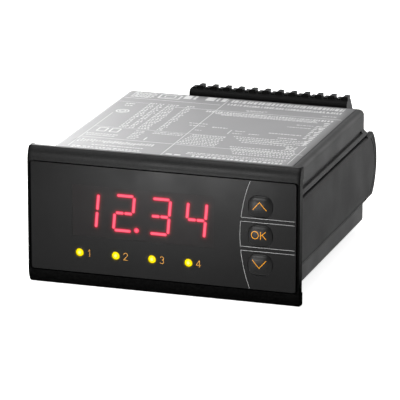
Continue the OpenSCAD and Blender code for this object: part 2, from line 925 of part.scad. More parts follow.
// Flat chip with its rows of legs joined to the body
module chip(x, w, d, h) {
    y = chip_y;
    legs = floor(d / 1.6);
    color("#1b1b1d")
        union() {
            block([x - w / 2, y - d / 2, board_z + 0.2], [x + w / 2, y + d / 2, board_z + h]);
            for (i = [0:legs - 1], s = [-1, 1])
                translate([x + s * w / 2, y + (i - (legs - 1) / 2) * 1.5, board_z + 0.35])
                    cube([2, 0.6, 0.7], center = true);
        }
}

// ---- terminal rows ----

// Pin header: an open-mouthed box on the main board's rear edge
module pin_header() {
    color("#2a2b2d")
        difference() {
            block([header_x0, header_y, board_z], [header_x1, housing_d, board_z + header_h]);
            block([header_x0 + header_wall, header_y + header_back_t, board_z + header_wall],
                  [header_x1 - header_wall, housing_d + 1, board_z + header_h - header_wall]);
            for (x = way_places)
                block([x - pin_t / 2, header_y - 1, contact_z - pin_t / 2],
                      [x + pin_t / 2, housing_d, contact_z + pin_t / 2]);
        }
}

// Bent pins from the board into the header
module header_pins() {
    color("#d9b65a")
        for (x = way_places) {
            block([x - pin_t / 2, pin_leg_y, contact_z - pin_t / 2],
                  [x + pin_t / 2, pin_tip_y, contact_z + pin_t / 2]);
            block([x - pin_t / 2, pin_leg_y, board_z],
                  [x + pin_t / 2, pin_leg_y + pin_t, contact_z - pin_t / 2 + 0.01]);
        }
}

// Section of a plug in Y and Z: tongue, tall ridge and low screw deck
module plug_section() {
    chamfer = 0.8;
    polygon([
        [tongue_y, tongue_z0],
        [plug_y, tongue_z0],
        [plug_y, plug_bottom_z],
        [plug_end_y, plug_bottom_z],
        [plug_end_y, deck_z - chamfer],
        [plug_end_y - chamfer, deck_z],
        [plug_y + ridge_t + ridge_slope, deck_z],
        [plug_y + ridge_t, plug_top_z],
        for (a = [90:15:180])
            [plug_y + ridge_r + ridge_r * cos(a), plug_top_z - ridge_r + ridge_r * sin(a)],
        [plug_y, tongue_z1],
        [tongue_y, tongue_z1],
    ]);
}

// Hood with one rounded shoulder, and a low step beside it
module hood() {
    shoulder = hood_h - 0.1;
    hood_y = plug_y + ridge_r + 0.1;
    step_w = 1.3;
    along_y(hood_y, hood_y + hood_d) {
        translate([shoulder, plug_top_z - 0.2])
            square([hood_w - shoulder, hood_h + 0.2]);
        intersection() {
            translate([shoulder, plug_top_z + hood_h - shoulder])
                circle(r = shoulder);
            translate([0, plug_top_z + hood_h - shoulder])
                square(shoulder);
        }
        translate([0, plug_top_z - 0.2])
            square([hood_w, 0.3]);
        translate([-step_w - 0.3, plug_top_z - 0.2])
            square([step_w, 0.7]);
    }
}

// What is cut out of a plug for one terminal: wire entry, cage chamber, screw well and contact slot
module terminal_cuts() {
    rod_y([0, contact_z], wire_r, cage_y, plug_end_y + 1);
    translate([0, plug_end_y + 0.01, contact_z])
        rotate([90, 0, 0])
            cylinder(r1 = wire_r + 0.5, r2 = wire_r, h = 1.2);
    block([-cage_w / 2 - 0.1, cage_y - 0.1, contact_z - cage_h / 2 - 0.1],
          [cage_w / 2 + 0.1, cage_y + cage_d + 0.1, contact_z + cage_h / 2 + 0.1]);
    translate([0, screw_y, contact_z])
        cylinder(r = screw_head_r + 0.1, h = plug_top_z);
    block([-1.1, tongue_y - 1, contact_z - 1.3], [1.1, cage_y, contact_z + 1.3]);
}

module terminal_plug() {
    color("#2d2e30")
        difference() {
            union() {
                along_x(row_x - ways * way_pitch / 2, row_x + ways * way_pitch / 2)
                    plug_section();
                for (x = way_places)
                    translate([x + way_pitch / 2 - 0.1 - hood_w, 0, 0])
                        hood();
            }
            for (x = way_places)
                translate([x, 0, 0])
                    terminal_cuts();
        }
}

// Rising-cage clamp with the two spring blades that grip the header's pin
module terminal_cages() {
    blade_t = 0.4;
    color("#c9ccd0")
        for (x = way_places)
            translate([x, 0, contact_z])
                difference() {
                    union() {
                        block([-cage_w / 2, cage_y, -cage_h / 2], [cage_w / 2, cage_y + cage_d, cage_h / 2]);
                        for (s = [0, 1])
                            mirror([0, 0, s])
                                block([-0.8, tongue_y + 1, pin_t / 2 + 0.1],
                                      [0.8, cage_y + 0.01, pin_t / 2 + 0.1 + blade_t]);
                    }
                    block([cage_wall - cage_w / 2, cage_y + 0.8, cage_wall - cage_h / 2],
                          [cage_w / 2 - cage_wall, cage_y + cage_d + 1, cage_h / 2 - 1.2]);
                    translate([0, cage_d / 2 + cage_y, 0])
                        cylinder(r = screw_r + 0.02, h = cage_h);
                }
}

// Slotted clamping screws
module terminal_screws() {
    tip_z = contact_z + 0.7;
    slot_w = 0.6;
    color("#b9bdc2")
        for (x = way_places)
            translate([x, screw_y, 0])
                difference() {
                    union() {
                        translate([0, 0, tip_z])
                            cylinder(r = screw_r, h = screw_top_z - tip_z);
                        translate([0, 0, screw_top_z - screw_head_h])
                            cylinder(r = screw_head_r, h = screw_head_h);
                    }
                    translate([-screw_head_r - 1, -slot_w / 2, screw_top_z - 0.8])
                        cube([2 * screw_head_r + 2, slot_w, 2]);
                }
}

module lower() {
    mirror([0, 0, 1])
        children();
}

bezel();
panel_gasket();
front_panel();
display_window();
key(key_places[0]);  // key_up
key(key_places[1]);  // key_ok
key(key_places[2]);  // key_down
plunger(key_places[0]);  // plunger_up
plunger(key_places[1]);  // plunger_ok
plunger(key_places[2]);  // plunger_down
key_switch(key_places[0]);  // switch_up
key_switch(key_places[1]);  // switch_ok
key_switch(key_places[2]);  // switch_down
lamp(lamp_places[0]);  // lamp_1
lamp(lamp_places[1]);  // lamp_2
lamp(lamp_places[2]);  // lamp_3
lamp(lamp_places[3]);  // lamp_4
lamp_spacers();
digit(digit_places[0]);  // digit_1
digit(digit_places[1]);  // digit_2
digit(digit_places[2]);  // digit_3
digit(digit_places[3]);  // digit_4
light_bar_set(digit_places[0]);  // light_bars_1
light_bar_set(digit_places[1]);  // light_bars_2
light_bar_set(digit_places[2]);  // light_bars_3
light_bar_set(digit_places[3]);  // light_bars_4
display_board();
display_board_screws();
housing();
top_label();
clamp();  // clamp_right
mirror([1, 0, 0]) clamp();  // clamp_left
main_board();  // upper_board
lower() main_board();  // lower_board
board_link();  // upper_link
lower() board_link();  // lower_link
relay(0);  // relay_1
relay(1);  // relay_2
relay(2);  // relay_3
relay(3);  // relay_4
transformer_core();
transformer_coil();
capacitor(0);  // capacitor_1
capacitor(1);  // capacitor_2
chip(-processor_w / 2, processor_w, processor_w, processor_t);  // processor
chip(converter_x, converter_w, 1.4 * converter_w, converter_t);  // converter
pin_header();  // upper_header
lower() pin_header();  // lower_header
header_pins();  // upper_pins
lower() header_pins();  // lower_pins
terminal_plug();  // upper_plug
lower() terminal_plug();  // lower_plug
terminal_cages();  // upper_cages
lower() terminal_cages();  // lower_cages
terminal_screws();  // upper_screws
lower() terminal_screws();  // lower_screws
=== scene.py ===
import math

import bmesh
import bpy
import numpy as np
from mathutils import Matrix, Vector


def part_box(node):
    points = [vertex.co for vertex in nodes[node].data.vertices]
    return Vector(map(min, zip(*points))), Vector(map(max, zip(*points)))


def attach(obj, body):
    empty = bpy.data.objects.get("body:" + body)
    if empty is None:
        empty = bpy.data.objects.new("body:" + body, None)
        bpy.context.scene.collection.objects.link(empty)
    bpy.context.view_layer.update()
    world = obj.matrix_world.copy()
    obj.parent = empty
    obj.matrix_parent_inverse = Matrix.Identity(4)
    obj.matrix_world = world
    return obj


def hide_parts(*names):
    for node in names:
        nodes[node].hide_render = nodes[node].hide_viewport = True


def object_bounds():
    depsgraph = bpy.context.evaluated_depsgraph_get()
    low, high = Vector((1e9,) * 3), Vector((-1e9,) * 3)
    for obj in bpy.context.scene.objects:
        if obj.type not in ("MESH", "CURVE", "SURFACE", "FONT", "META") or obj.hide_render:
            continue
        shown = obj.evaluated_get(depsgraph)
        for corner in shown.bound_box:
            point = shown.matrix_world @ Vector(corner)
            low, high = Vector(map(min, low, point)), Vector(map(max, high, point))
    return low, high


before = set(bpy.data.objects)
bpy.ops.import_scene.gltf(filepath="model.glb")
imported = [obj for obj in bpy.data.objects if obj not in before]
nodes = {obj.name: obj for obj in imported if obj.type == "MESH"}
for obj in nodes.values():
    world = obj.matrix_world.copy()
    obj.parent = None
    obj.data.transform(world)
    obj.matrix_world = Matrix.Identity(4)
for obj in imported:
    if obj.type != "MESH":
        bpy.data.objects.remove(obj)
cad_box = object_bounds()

MM = 0.001


# ---- Housing ----
# The housing is one injection-moulded shell of black glass-filled polycarbonate. Its mould was
# spark-eroded, which leaves a fine even grain and little gloss. The side rails and clamp slots are
# moulded in.


def linear(hex_colour):
    """Turns an sRGB hex colour into the linear RGBA that a shader works with."""
    parts = [int(hex_colour[i : i + 2], 16) / 255 for i in (1, 3, 5)]
    return tuple(c / 12.92 if c <= 0.04045 else ((c + 0.055) / 1.055) ** 2.4 for c in parts) + (1.0,)


def add_node(tree, kind, inputs=None, **settings):
    """Adds one shader node with its settings, and sets each input to a value or links it to a socket."""
    node = tree.nodes.new(kind)
    for name, value in settings.items():
        setattr(node, name, value)
    for key, value in (inputs or {}).items():
        if isinstance(value, bpy.types.NodeSocket):
            tree.links.new(value, node.inputs[key])
        else:
            node.inputs[key].default_value = value
    return node


def new_material(name):
    """Starts an empty material and returns it with its node tree and its object coordinates."""
    material = bpy.data.materials.new(name)
    material.use_nodes = True
    tree = material.node_tree
    tree.nodes.clear()
    place = add_node(tree, "ShaderNodeTexCoord").outputs["Object"]
    return material, tree, place


def finish_material(tree, shader):
    """Links the finished shader to the material's output."""
    add_node(tree, "ShaderNodeOutputMaterial", {"Surface": shader})


def moulded_plastic(name, colour, roughness, grain_mm, grain_depth_mm, edge_mm, gloss=0.5, mottle=0.15):
    """Injection-moulded plastic, and solids that look like it: grain as bump and mottle, a cloudy sheen from
    handling, worn edges. Real grain is about 0.05 mm wide. It is drawn as coarse as grain_mm, to show."""
    material, tree, place = new_material(name)
    fine_noise = {"Vector": place, "Scale": 1 / (grain_mm * MM), "Detail": 3.0}
    grain = add_node(tree, "ShaderNodeTexNoise", fine_noise).outputs["Fac"]
    wide_noise = {"Vector": place, "Scale": 1 / (14 * MM), "Detail": 4.0}
    clouds = add_node(tree, "ShaderNodeTexNoise", wide_noise).outputs["Fac"]
    noise_range = {"From Min": 0.3, "From Max": 0.7}
    dullness = {"To Min": roughness - 0.05, "To Max": roughness + 0.05}
    sheen = add_node(tree, "ShaderNodeMapRange", {"Value": clouds, **noise_range, **dullness})
    lightness = {"To Min": 1 - mottle, "To Max": 1 + mottle}
    tone = add_node(tree, "ShaderNodeMapRange", {"Value": grain, **noise_range, **lightness})
    tinted = {0: linear(colour)[:3], "Scale": tone.outputs["Result"]}
    shade = add_node(tree, "ShaderNodeVectorMath", tinted, operation="SCALE")
    edge = add_node(tree, "ShaderNodeBevel", {"Radius": edge_mm * MM}, samples=4)
    relief = {"Height": grain, "Normal": edge.outputs["Normal"], "Distance": grain_depth_mm * MM}
    bump = add_node(tree, "ShaderNodeBump", {**relief, "Strength": 1.0})
    shader = add_node(
        tree,
        "ShaderNodeBsdfPrincipled",
        {
            "Base Color": shade.outputs[0],
            "Roughness": sheen.outputs["Result"],
            "Normal": bump.outputs["Normal"],
            "IOR": 1.5,
            "Specular IOR Level": gloss,
        },
    )
    finish_material(tree, shader.outputs["BSDF"])
    return material


def dress(material, *names):
    """Gives CAD nodes their material."""
    for name in names:
        nodes[name].data.materials.clear()
        nodes[name].data.materials.append(material)


# Glass-filled polycarbonate, spark-eroded mould: charcoal, dull, with a soft light on its edges
housing_plastic = moulded_plastic("spark_eroded_polycarbonate", "#333333", 0.52, 0.3, 0.014, 0.2, gloss=0.06)
dress(housing_plastic, "housing")


# ---- Top label ----
# The label is a self-adhesive polyester film, silver-grey with a satin face, screen-printed in white with
# the terminal plan. It is stuck on the housing's top. Its print is shown as plain lines, boxes and dashes.

# Satin polyester film: mid grey, slightly cloudy, with a soft broad sheen
satin_film, tree, place = new_material("satin_polyester_film")
fibre = add_node(tree, "ShaderNodeTexNoise", {"Vector": place, "Scale": 1 / (0.4 * MM), "Detail": 2.0})
clouds = add_node(tree, "ShaderNodeTexNoise", {"Vector": place, "Scale": 1 / (22 * MM), "Detail": 2.0})
# inputs 6 and 7 of a Mix node are the two colours it goes between
greys = {"Factor": clouds.outputs["Fac"], 6: linear("#646465"), 7: linear("#6e6e6f")}
tone = add_node(tree, "ShaderNodeMix", greys, data_type="RGBA")
# painted shade: over the film's last 3.6 mm towards its right edge, its colour is darkened and its
# reflection lowered, standing in for the shade where the housing rounds down
label_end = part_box("top_label")[1].x
across = add_node(tree, "ShaderNodeSeparateXYZ", {"Vector": place}).outputs["X"]
painted_edge_shade = {"From Min": label_end - 3.6 * MM, "From Max": label_end, "To Min": 1.0, "To Max": 0.4}
level = add_node(tree, "ShaderNodeMapRange", {"Value": across, **painted_edge_shade}).outputs["Result"]
shade = add_node(tree, "ShaderNodeVectorMath", {0: tone.outputs[2], "Scale": level}, operation="SCALE")
sheen = add_node(tree, "ShaderNodeMath", {0: level, 1: 0.5}, operation="MULTIPLY")
relief = {"Height": fibre.outputs["Fac"], "Distance": 0.004 * MM, "Strength": 1.0}
bump = add_node(tree, "ShaderNodeBump", relief)
shader = add_node(
    tree,
    "ShaderNodeBsdfPrincipled",
    {
        "Base Color": shade.outputs[0],
        "Roughness": 0.42,
        "Normal": bump.outputs["Normal"],
        "IOR": 1.5,
        "Specular IOR Level": sheen.outputs[0],
    },
)
finish_material(tree, shader.outputs["BSDF"])
dress(satin_film, "top_label")


def strip_quads(points, width):
    """A path of constant width: each point is moved half the width to both sides along the path's normal."""
    points = np.asarray(points, float)
    step = np.diff(points, axis=0)
    step /= np.linalg.norm(step, axis=1)[:, None]
    along = np.vstack([step[:1], step[:-1] + step[1:], step[-1:]])
    along /= np.linalg.norm(along, axis=1)[:, None]
    side = np.stack([-along[:, 1], along[:, 0]], axis=1)
    turn = np.einsum("ij,ij->i", along, np.vstack([step, step[-1:]]))
    side *= (width / 2 / np.maximum(turn, 0.5))[:, None]
    left, right = points + side, points - side
    return np.stack([left[:-1], right[:-1], right[1:], left[1:]], axis=1)


def box_corners(low_u, low_v, high_u, high_v):
    """The four corners of a rectangle, anticlockwise."""
    return [(low_u, low_v), (high_u, low_v), (high_u, high_v), (low_u, high_v)]


def box_quads(*sides):
    """Filled rectangles, one for each entry of the arrays low_u, low_v, high_u and high_v."""
    corners = box_corners(*np.broadcast_arrays(*sides))
    return np.stack([np.stack([np.ravel(u), np.ravel(v)], axis=1) for u, v in corners], axis=1).astype(float)


def frame_quads(low_u, low_v, high_u, high_v, width):
    """The outline of a rectangle, as four strips."""
    corners = box_corners(low_u, low_v, high_u, high_v)
    return np.concatenate([strip_quads([corners[i], corners[(i + 1) % 4]], width) for i in range(4)])


def dash_quads(low_u, high_u, v, height, seed, dash=(0.35, 1.1), gap=(0.18, 0.45)):
    """A row of print: dashes and gaps of changing length, added up along the row until it is full."""
    rng = np.random.default_rng(seed)
    count = int((high_u - low_u) / (dash[0] + gap[0])) + 2
    dashes, gaps = rng.uniform(*dash, count), rng.uniform(*gap, count)
    start = low_u + np.cumsum(dashes + gaps) - (dashes + gaps)
    keep = start + dashes <= high_u
    return box_quads(start[keep], v - height / 2, (start + dashes)[keep], v + height / 2)


def arc_points(centre, radius, start, end, count=24):
    """Points on a circle, from one angle to the other, in degrees."""
    turn = np.radians(np.linspace(start, end, count))
    return np.stack([centre[0] + radius * np.cos(turn), centre[1] + radius * np.sin(turn)], axis=1)


def add_piece(name, mesh, material, body):
    """Puts a mesh into the scene as a piece that takes a slot's finish and rides on a body."""
    mesh.materials.append(material)
    piece = bpy.data.objects.new(name, mesh)
    bpy.context.scene.collection.objects.link(piece)
    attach(piece, body)
    return piece


def flat_piece(name, quads, to_space, material, body):
    """A printed piece. The function to_space turns u and v into points, and anticlockwise quads face out."""
    corners = np.concatenate(quads).reshape(-1, 2)
    points = np.stack(np.broadcast_arrays(*to_space(corners[:, 0], corners[:, 1])), axis=1) * MM
    mesh = bpy.data.meshes.new(name)
    mesh.from_pydata(points.tolist(), [], np.arange(len(points)).reshape(-1, 4).tolist())
    return add_piece(name, mesh, material, body)


# Screen-printed white ink, thin and slightly uneven, so that the film shows through a little
label_ink, tree, place = new_material("white_screen_ink")
patch = add_node(tree, "ShaderNodeTexNoise", {"Vector": place, "Scale": 1 / (1.2 * MM), "Detail": 2.0})
whites = {"Factor": patch.outputs["Fac"], 6: linear("#989898"), 7: linear("#cccccc")}
tone = add_node(tree, "ShaderNodeMix", whites, data_type="RGBA")
shader = add_node(tree, "ShaderNodeBsdfPrincipled", {"Base Color": tone.outputs[2], "Roughness": 0.45})
finish_material(tree, shader.outputs["BSDF"])

ink_mm = 0.012  # how far print stands off its surface
label_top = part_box("top_label")[1].z / MM + ink_mm

# The print is laid out in millimetres: u from the meter's middle, v from the panel surface to the rear.
# Its rows are drawn coarser than real small lettering, so that they show.
thin, medium = 0.22, 0.34
rules = [
    ((-5.05, 2), (-5.05, 87), 0.26),
    ((-38.9, 11), (-38.9, 57), thin),
    ((38.9, 11), (38.9, 34), thin),
    ((-42, 78.9), (-6, 78.9), medium),
    ((-42, 73.2), (-30, 73.2), thin),
    ((-20, 71.2), (40.6, 72.2), medium),
    ((-38.9, 38.2), (9, 38.2), thin),
    ((-38.9, 23.6), (40.6, 23.6), medium),
    ((8.2, 42.2), (8.2, 47.4), medium),
]
print_quads = [strip_quads([start, end], width) for start, end, width in rules]

# Rows of dashes: low and high end, place, height and seed, then lengths of dashes and gaps where they
# aren't the usual ones
dash_rows = [
    # heavy rows at the rear edge, left and right
    *((-40.4, -31.4, 81.2 + 1.3 * i, 0.75, 170 + i, (0.4, 1.6), (0.2, 0.5)) for i in range(6)),
    (-3.6, 38.4, 85.3, 3.6, 1, (0.4, 1.3), (0.25, 0.7)),
    (-3.6, 38.4, 80.6, 2.2, 2, (0.3, 0.9), (0.3, 0.8)),
    (4, 38.2, 79.6, 0.6, 3),
    # headings of the right half
    (5, 13, 74.6, 0.6, 4),
    (5.6, 12.4, 73.4, 0.6, 5),
    (32.8, 38.4, 75.4, 0.6, 6),
    (-8, 38.4, 69.2, 1.9, 7, (0.3, 0.8), (0.3, 0.7)),
    (-4, 34, 67.2, 0.9, 8),
    (-1.5, 34, 65.9, 0.7, 9),
    # small notes between
    (27.6, 33.7, 61, 0.7, 10),
    (25.2, 33.7, 57.6, 0.7, 11),
    (36, 38.3, 61.6, 0.6, 12),
    (36, 38.3, 58.4, 0.6, 13),
    (-8.8, -1.6, 52.2, 0.7, 14),
    (-7.8, -1.9, 49.2, 0.7, 15),
    (0.6, 6.3, 49, 1.0, 16),
    (9.6, 13.4, 46.6, 0.7, 17),
    (9.6, 13.6, 43.4, 0.7, 18),
    (15.3, 19.7, 44, 0.9, 19),
    (-4, -1.6, 43.6, 0.7, 20),
    (21.5, 33.4, 47.6, 0.9, 21),
    (26.2, 33.7, 42.4, 0.9, 22),
    (-38.6, -34.2, 70.9, 0.9, 23),
    (-38.2, -34.8, 68.3, 0.9, 24),
    # rows before and behind the upright bars
    (-39.2, -11.4, 19.2, 0.5, 198),
    (-31.6, -12.2, 14.6, 0.8, 200),
    (-37.6, -12, 11.6, 0.8, 204, (0.6, 1.6), (0.3, 0.8)),
    (-37.6, -12, 10.0, 0.6, 205),
    (-36, -14, 7.9, 0.6, 208),
    # rows at the front edge, right half
    (5.4, 38.4, 11.0, 1.6, 209, (0.7, 1.3), (0.4, 0.7)),
    (2.6, 37.6, 14.9, 0.7, 201),
    (2.6, 37.6, 13.3, 0.6, 206),
    (7, 37.6, 8.4, 0.6, 207),
    # notes in the front left corner
    (-38.4, -27, 28.6, 0.7, 202),
    (-38, -27.4, 26.6, 0.7, 203),
    *((-23, -19, 26.2 + 2.0 * i, 0.7, 210 + i) for i in range(6)),
    *((-16.6, -5.6, 36.6 - 1.8 * i, 0.6, 220 + i) for i in range(2)),
    *((25, 38, v, 0.7, 260 + i) for i, v in enumerate([39.8, 37.8, 35.6])),
]
# columns of the left table
table_marks = ((0.4, 0.9), (0.3, 0.6))
for k, (low_u, high_u) in enumerate([(-30.4, -27.6), (-26.9, -24.4), (-23.6, -19.2), (-16.6, -13.8)]):
    dash_rows += [(low_u, high_u, 39.8 + 2.1 * i, 1.0, 30 + 40 * k + i, *table_marks) for i in range(17)]
# dense rows in the middle and in the front right corner
fine_marks = ((0.4, 0.8), (0.3, 0.6))
dash_rows += [(-4.6 + 0.3 * i, 9.6, 25.5 + 1.95 * i, 0.9, 280 + i, *fine_marks) for i in range(7)]
dash_rows += [(14 + 0.9 * i, 37.8, 26.6 - 2.1 * i, 0.95, 240 + i, *fine_marks) for i in range(5)]
dash_rows += [(11.4 + 1.6 * i, 26 + 2.8 * i, 39.4 - 2.1 * i, 0.95, 250 + i, *fine_marks) for i in range(4)]
print_quads += [dash_quads(*row) for row in dash_rows]
# three short rows that run the other way: u and v change places
print_quads += [dash_quads(28, 33, v, 0.5, 270 + i)[:, ::-1, ::-1] for i, v in enumerate([33.2, 34.6, 36])]

# a row of upright bars of changing height
bar_start = np.arange(-39.2, -11.4, 1.06)
bar_low, bar_high = np.random.default_rng(199).uniform((17.2, 20.2), (18.6, 21.2), (len(bar_start), 2)).T
print_quads += [
    box_quads(bar_start, bar_low, bar_start + 0.5, bar_high),
    # terminal fields at the rear edge, and single boxes
    frame_quads(-30.3, 81.9, -22.7, 87.2, 0.7),
    frame_quads(-28.4, 83.4, -24.6, 85.8, 0.4),
    box_quads([-21.4, -17.8, -13.2, -9.2, -7.4], 83.5, [-18.6, -16.8, -9.9, -8.4, -5.6], 88.1),
    box_quads(-16.8, 25.2, -16.35, 29.0),
    box_quads([-3.8, -0.8], 10.4, [-1.6, 1.4], 11.5),
    frame_quads(-36.2, 32.2, -33.2, 36.8, 0.5),
    frame_quads(-31.6, 32.2, -28.6, 36.8, 0.5),
    # a round mark and a cross
    *(strip_quads(arc_points((-36.3, 60.4), radius, 0, 360, 33), 0.5) for radius in (2.2, 1.1)),
    strip_quads([(32.2, 27.4), (36.4, 31.8)], 0.4),
    strip_quads([(32.2, 31.8), (36.4, 27.4)], 0.4),
    # two columns of small boxes at the right edge
    *(box_quads(37.0 - 0.4 * (i % 3), v, 38.3, v + 1.0) for i, v in enumerate(np.arange(36, 66, 2.1))),
    *(box_quads(34.6, v, 35.9 - 0.3 * (i % 2), v + 0.9) for i, v in enumerate(np.arange(44, 62, 2.1))),
]
flat_piece("label_print", print_quads, lambda u, v: (u, v, label_top), label_ink, "meter")


# ---- Side clamps ----
# Each clamp is a moulded slide of the same black plastic as the housing. Its flange runs in the housing's
# undercut slot, and its rounded tail is pushed by thumb until the nose meets the panel.

# Polyamide from a spark-eroded mould: a shade darker than the housing, and as dull
clamp_plastic = moulded_plastic("moulded_polyamide", "#292929", 0.55, 0.3, 0.01, 0.15, gloss=0.03)
dress(clamp_plastic, "clamp_left", "clamp_right")


# ---- Circuit boards and what they carry ----
# Two glass-epoxy boards with green solder mask slide into the housing's guides. The relays, transformer,
# capacitors and chips are soldered on, and pin strips link the boards to the display board.

# Solder mask on glass epoxy: glossy green, with the weave as a fine ripple
solder_mask, tree, place = new_material("green_solder_mask")
# copper areas show through the mask as lighter fields: a brick is 0.5 by 0.25 of the texture's unit, so
# these are 6 by 3 mm
fields = {
    "Vector": place,
    "Scale": 0.5 / (6 * MM),
    "Mortar Size": 0.02,
    "Color1": linear("#1e5a35"),
    "Color2": linear("#2a6d42"),
    "Mortar": linear("#16472a"),
}
cells = add_node(tree, "ShaderNodeTexBrick", fields)
weave = add_node(tree, "ShaderNodeTexNoise", {"Vector": place, "Scale": 1 / (0.5 * MM), "Detail": 2.0})
relief = {"Height": weave.outputs["Fac"], "Distance": 0.01 * MM, "Strength": 1.0}
bump = add_node(tree, "ShaderNodeBump", relief)
surface = {"Base Color": cells.outputs["Color"], "Roughness": 0.28, "Normal": bump.outputs["Normal"]}
shader = add_node(tree, "ShaderNodeBsdfPrincipled", surface)
finish_material(tree, shader.outputs["BSDF"])
dress(solder_mask, "upper_board", "lower_board", "display_board")

# Relay cases of ivory polyester, a dark sintered core with yellow tape, blue sleeves and black chips
relay_case = moulded_plastic("moulded_polyester_case", "#b9b2a0", 0.4, 0.4, 0.005, 0.3)
dress(relay_case, "relay_1", "relay_2", "relay_3", "relay_4")
ferrite = moulded_plastic("sintered_ferrite", "#3a3836", 0.55, 0.2, 0.02, 0.2)
dress(ferrite, "transformer_core")
winding_tape = moulded_plastic("yellow_winding_tape", "#c49a35", 0.35, 0.6, 0.008, 0.15)
dress(winding_tape, "transformer_coil")
capacitor_sleeve = moulded_plastic("shrunk_pvc_sleeve", "#1f2a4a", 0.25, 0.8, 0.004, 0.2)
dress(capacitor_sleeve, "capacitor_1", "capacitor_2")
chip_resin = moulded_plastic("epoxy_moulding_compound", "#161617", 0.5, 0.12, 0.006, 0.1)
dress(chip_resin, "processor", "converter")


# ---- Pin headers ----
# The headers are black glass-filled nylon boxes soldered along the boards' rear edges, and their bent pins
# are tin-plated brass, drawn square. The plugs' tongues slide into them.

# Glass-filled nylon: near black and half dull
header_plastic = moulded_plastic("glass_filled_nylon", "#121314", 0.48, 0.22, 0.012, 0.12)
dress(header_plastic, "upper_header", "lower_header", "upper_link", "lower_link")


def plated_metal(name, colour, roughness, streak_mm):
    """Plated and lightly brushed metal: fine streaks along one way vary its roughness and bump.
    Real brush marks are finer than streak_mm, and are drawn that coarse so that they show."""
    material, tree, place = new_material(name)
    stretch = add_node(tree, "ShaderNodeMapping", {"Vector": place, "Scale": (1.0, 0.12, 1.0)})
    marks = {"Vector": stretch.outputs[0], "Scale": 1 / (streak_mm * MM), "Detail": 4.0}
    streaks = add_node(tree, "ShaderNodeTexNoise", marks).outputs["Fac"]
    dullness = {"Value": streaks, "To Min": roughness - 0.1, "To Max": roughness + 0.1}
    dull = add_node(tree, "ShaderNodeMapRange", dullness)
    edge = add_node(tree, "ShaderNodeBevel", {"Radius": 0.1 * MM}, samples=4)
    relief = {"Height": streaks, "Normal": edge.outputs["Normal"], "Distance": 0.004 * MM, "Strength": 1.0}
    bump = add_node(tree, "ShaderNodeBump", relief)
    shader = add_node(
        tree,
        "ShaderNodeBsdfPrincipled",
        {
            "Base Color": linear(colour),
            "Metallic": 1.0,
            "Roughness": dull.outputs["Result"],
            "Normal": bump.outputs["Normal"],
        },
    )
    finish_material(tree, shader.outputs["BSDF"])
    return material


# Tin over brass: pale gold, bright
tinned_brass = plated_metal("tinned_brass", "#cdb98a", 0.3, 0.2)
dress(tinned_brass, "upper_pins", "lower_pins")


# ---- Terminal plugs ----
# Each plug is one block of black nylon with a hood at every way. Zinc-plated steel cages slide up in it as
# their slotted screws are turned, and the whole plug pulls off its header.

# Plug nylon: deep black with a little sheen. Zinc plate: bluish white, half bright
plug_plastic = moulded_plastic("plug_nylon", "#0a0a0a", 0.42, 0.3, 0.012, 0.15, gloss=0.035)
dress(plug_plastic, "upper_plug", "lower_plug")
zinc_steel = plated_metal("zinc_plated_steel", "#c3c6ca", 0.32, 0.3)
dress(zinc_steel, "upper_cages", "lower_cages", "upper_screws", "lower_screws", "display_board_screws")


# ---- Display modules ----
# Four display modules stand side by side on the display board: grey-black moulded blocks, each with
# fourteen bars and a point cast in milky resin. Those that are switched on glow through the resin.

# The module's face is painted dull black, and a bar that is off is hardly lighter
display_case = moulded_plastic("display_module_face", "#121212", 0.5, 0.2, 0.004, 0.05, gloss=0.1)
dress(display_case, "digit_1", "digit_2", "digit_3", "digit_4")
unlit_resin = moulded_plastic("unlit_bar_resin", "#151212", 0.45, 0.5, 0.002, 0.05, gloss=0.1)
dress(unlit_resin, "light_bars_1", "light_bars_2", "light_bars_3", "light_bars_4")

# a digit's bars: width, half-sizes of the figure that their middle lines make, gaps and lean
bar_w = 1.05
half_w, half_h = 3.25, 6.1
bar_gap = 1.15 * bar_w
corner = 0.71 * bar_gap
lean = math.tan(math.radians(4.8))
# a lit bar looks a little wider than it is
lit_radius = 1.08 * bar_w / 2
point_radius = 0.9
window_low, window_high = (np.array(end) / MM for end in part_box("display_window"))
# the reading sits a little off the window's middle, and shines just under the window's face
display_x, display_z = (window_low + window_high)[[0, 2]] / 2 + (-0.25, 0.33)
digit_pitch = (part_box("digit_2")[0].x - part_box("digit_1")[0].x) / MM
light_y = window_low[1] + 0.02

# the bars by place, each from end to end about the digit's centre
bar_ends = {
    "top": ((corner - half_w, half_h), (half_w - corner, half_h)),
    "bottom": ((corner - half_w, -half_h), (half_w - corner, -half_h)),
    "upper_left": ((-half_w, corner), (-half_w, half_h - corner)),
    "upper_right": ((half_w, corner), (half_w, half_h - corner)),
    "lower_left": ((-half_w, corner - half_h), (-half_w, -corner)),
    "lower_right": ((half_w, corner - half_h), (half_w, -corner)),
    "middle_left": ((corner - half_w, 0), (-bar_gap / 2, 0)),
    "middle_right": ((bar_gap / 2, 0), (half_w - corner, 0)),
}
# the reading 12.34
shown = [
    ["upper_right", "lower_right"],
    ["top", "upper_right", "middle_left", "middle_right", "lower_left", "bottom"],
    ["top", "upper_right", "middle_left", "middle_right", "lower_right", "bottom"],
    ["upper_left", "middle_left", "middle_right", "upper_right", "lower_right"],
]


def leaning(point, digit):
    """A digit's point in the display's X and Z: the digit's place plus a lean that grows with height."""
    middle = display_x + (digit - 1.5) * digit_pitch
    return np.array([middle + point[0] + lean * point[1], display_z + point[1]])


lit_bars = []
for digit, names in enumerate(shown):
    for name in names:
        start, end = (leaning(point, digit) for point in bar_ends[name])
        lit_bars.append((start, end, lit_radius))
# the decimal point is a bar of almost no length
point_at = leaning((half_w + 1.65, 0.5 - half_h), 1)
lit_bars.append((point_at, point_at + 0.001, point_radius))

